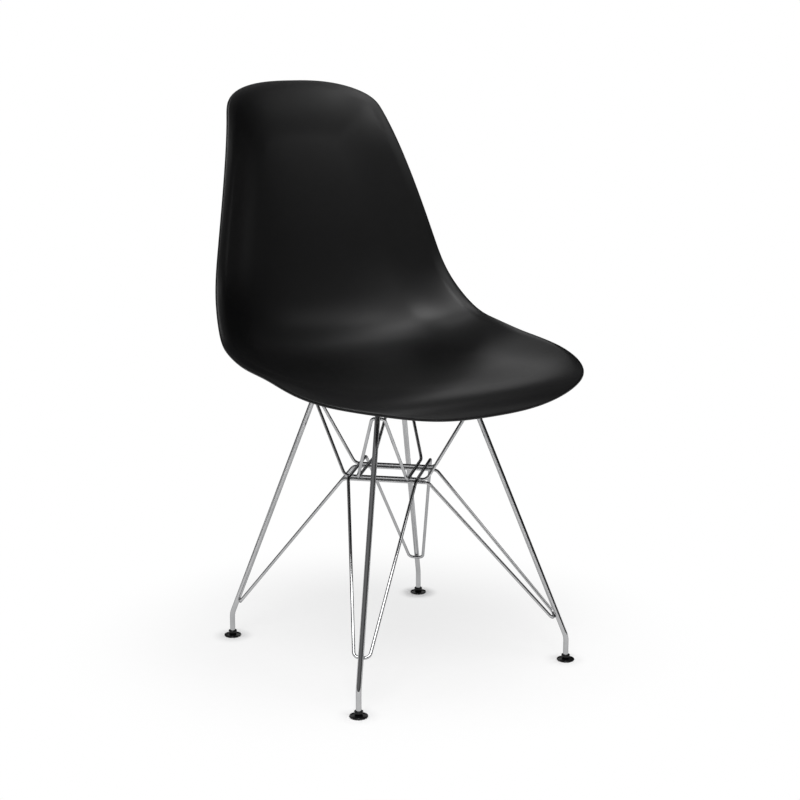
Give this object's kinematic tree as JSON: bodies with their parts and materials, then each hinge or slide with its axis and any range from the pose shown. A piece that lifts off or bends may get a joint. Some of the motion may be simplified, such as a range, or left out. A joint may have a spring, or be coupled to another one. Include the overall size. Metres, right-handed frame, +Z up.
{
  "type": "side chair",
  "caption": "Moulded plastic side-chair shell on a chromed base of bent rod legs and crossing wire loops.",
  "frame": {"origin": "on the floor under the middle of the chair's outline", "axes": "+Z up; the sitter faces -Y, so +Y is the back of the chair and -X the sitter's right"},
  "size_m": [0.4708, 0.5062, 0.8046],
  "materials": {
    "shell_plastic": "satin black moulded polypropylene with a fine grain",
    "base_chrome": "bright chromed steel rod and wire",
    "glide_plastic": "black moulded nylon, slightly glossy",
    "pad_rubber": "matt black rubber",
    "insert_brass": "plain turned brass, sealed in the shell",
    "fixing_steel": "bright zinc plated"
  },
  "bodies": {
    "frame": {"seat_shell": "shell_plastic", "threaded_insert_front_right": "insert_brass", "shock_pad_front_right": "pad_rubber", "mounting_tab_front_right": "base_chrome", "flat_washer_front_right": "fixing_steel", "spring_washer_front_right": "fixing_steel", "mounting_bolt_front_right": "fixing_steel", "leg_rod_front_right": "base_chrome", "threaded_insert_front_left": "insert_brass", "shock_pad_front_left": "pad_rubber", "mounting_tab_front_left": "base_chrome", "flat_washer_front_left": "fixing_steel", "spring_washer_front_left": "fixing_steel", "mounting_bolt_front_left": "fixing_steel", "leg_rod_front_left": "base_chrome", "threaded_insert_rear_right": "insert_brass", "shock_pad_rear_right": "pad_rubber", "mounting_tab_rear_right": "base_chrome", "flat_washer_rear_right": "fixing_steel", "spring_washer_rear_right": "fixing_steel", "mounting_bolt_rear_right": "fixing_steel", "leg_rod_rear_right": "base_chrome", "threaded_insert_rear_left": "insert_brass", "shock_pad_rear_left": "pad_rubber", "mounting_tab_rear_left": "base_chrome", "flat_washer_rear_left": "fixing_steel", "spring_washer_rear_left": "fixing_steel", "mounting_bolt_rear_left": "fixing_steel", "leg_rod_rear_left": "base_chrome", "lower_wire_loop_1": "base_chrome", "upper_wire_loop_1": "base_chrome", "upper_wire_loop_2": "base_chrome", "lower_wire_loop_2": "base_chrome"},
    "sleeve_front_right": {"glide_sleeve_front_right": "glide_plastic"},
    "pad_front_right": {"glide_pad_front_right": "glide_plastic"},
    "sleeve_front_left": {"glide_sleeve_front_left": "glide_plastic"},
    "pad_front_left": {"glide_pad_front_left": "glide_plastic"},
    "sleeve_rear_right": {"glide_sleeve_rear_right": "glide_plastic"},
    "pad_rear_right": {"glide_pad_rear_right": "glide_plastic"},
    "sleeve_rear_left": {"glide_sleeve_rear_left": "glide_plastic"},
    "pad_rear_left": {"glide_pad_rear_left": "glide_plastic"}
  },
  "joints": [
    {"name": "sleeve_turn_front_right", "type": "hinge", "parent": "frame", "child": "sleeve_front_right", "pos_m": [-0.1763, -0.19844, 0.0067], "axis": [0, 0, 1], "continuous": true},
    {"name": "pad_tilt_front_right", "type": "hinge", "parent": "sleeve_front_right", "child": "pad_front_right", "pos_m": [-0.1763, -0.19844, 0.0033], "axis": [1, 0, 0], "range_deg": [-6, 6]},
    {"name": "sleeve_turn_front_left", "type": "hinge", "parent": "frame", "child": "sleeve_front_left", "pos_m": [0.1763, -0.19844, 0.0067], "axis": [0, 0, 1], "continuous": true},
    {"name": "pad_tilt_front_left", "type": "hinge", "parent": "sleeve_front_left", "child": "pad_front_left", "pos_m": [0.1763, -0.19844, 0.0033], "axis": [1, 0, 0], "range_deg": [-6, 6]},
    {"name": "sleeve_turn_rear_right", "type": "hinge", "parent": "frame", "child": "sleeve_rear_right", "pos_m": [-0.1684, 0.15606, 0.0067], "axis": [0, 0, 1], "continuous": true},
    {"name": "pad_tilt_rear_right", "type": "hinge", "parent": "sleeve_rear_right", "child": "pad_rear_right", "pos_m": [-0.1684, 0.15606, 0.0033], "axis": [1, 0, 0], "range_deg": [-6, 6]},
    {"name": "sleeve_turn_rear_left", "type": "hinge", "parent": "frame", "child": "sleeve_rear_left", "pos_m": [0.1684, 0.15606, 0.0067], "axis": [0, 0, 1], "continuous": true},
    {"name": "pad_tilt_rear_left", "type": "hinge", "parent": "sleeve_rear_left", "child": "pad_rear_left", "pos_m": [0.1684, 0.15606, 0.0033], "axis": [1, 0, 0], "range_deg": [-6, 6]}
  ]
}
